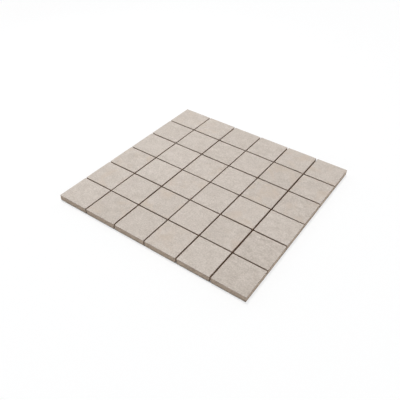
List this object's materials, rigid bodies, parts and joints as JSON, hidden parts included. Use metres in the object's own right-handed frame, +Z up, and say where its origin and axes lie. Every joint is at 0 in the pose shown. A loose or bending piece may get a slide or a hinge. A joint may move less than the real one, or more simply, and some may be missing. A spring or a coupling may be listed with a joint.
{
  "type": "porcelain mosaic floor tile sheet",
  "caption": "Square sheet of small matte stone-look porcelain floor tiles, set in a grid with narrow open joints on a glass-fibre backing net, ready for bedding and grouting.",
  "frame": {"origin": "middle of the sheet's underside, on the undersides of the net's lower strands", "axes": "+X along a row of tiles, +Y along a column of tiles, +Z up out of the walking face"},
  "size_m": [0.2986, 0.2986, 0.009],
  "materials": {
    "porcelain": "matte",
    "glass_fibre_net": "matte"
  },
  "bodies": {
    "root": {"tile_row1_col1": "porcelain", "tile_row1_col2": "porcelain", "tile_row1_col3": "porcelain", "tile_row1_col4": "porcelain", "tile_row1_col5": "porcelain", "tile_row1_col6": "porcelain", "tile_row2_col1": "porcelain", "tile_row2_col2": "porcelain", "tile_row2_col3": "porcelain", "tile_row2_col4": "porcelain", "tile_row2_col5": "porcelain", "tile_row2_col6": "porcelain", "tile_row3_col1": "porcelain", "tile_row3_col2": "porcelain", "tile_row3_col3": "porcelain", "tile_row3_col4": "porcelain", "tile_row3_col5": "porcelain", "tile_row3_col6": "porcelain", "tile_row4_col1": "porcelain", "tile_row4_col2": "porcelain", "tile_row4_col3": "porcelain", "tile_row4_col4": "porcelain", "tile_row4_col5": "porcelain", "tile_row4_col6": "porcelain", "tile_row5_col1": "porcelain", "tile_row5_col2": "porcelain", "tile_row5_col3": "porcelain", "tile_row5_col4": "porcelain", "tile_row5_col5": "porcelain", "tile_row5_col6": "porcelain", "tile_row6_col1": "porcelain", "tile_row6_col2": "porcelain", "tile_row6_col3": "porcelain", "tile_row6_col4": "porcelain", "tile_row6_col5": "porcelain", "tile_row6_col6": "porcelain", "backing_net_left": "glass_fibre_net", "backing_net_middle": "glass_fibre_net", "backing_net_right": "glass_fibre_net"}
  },
  "joints": []
}
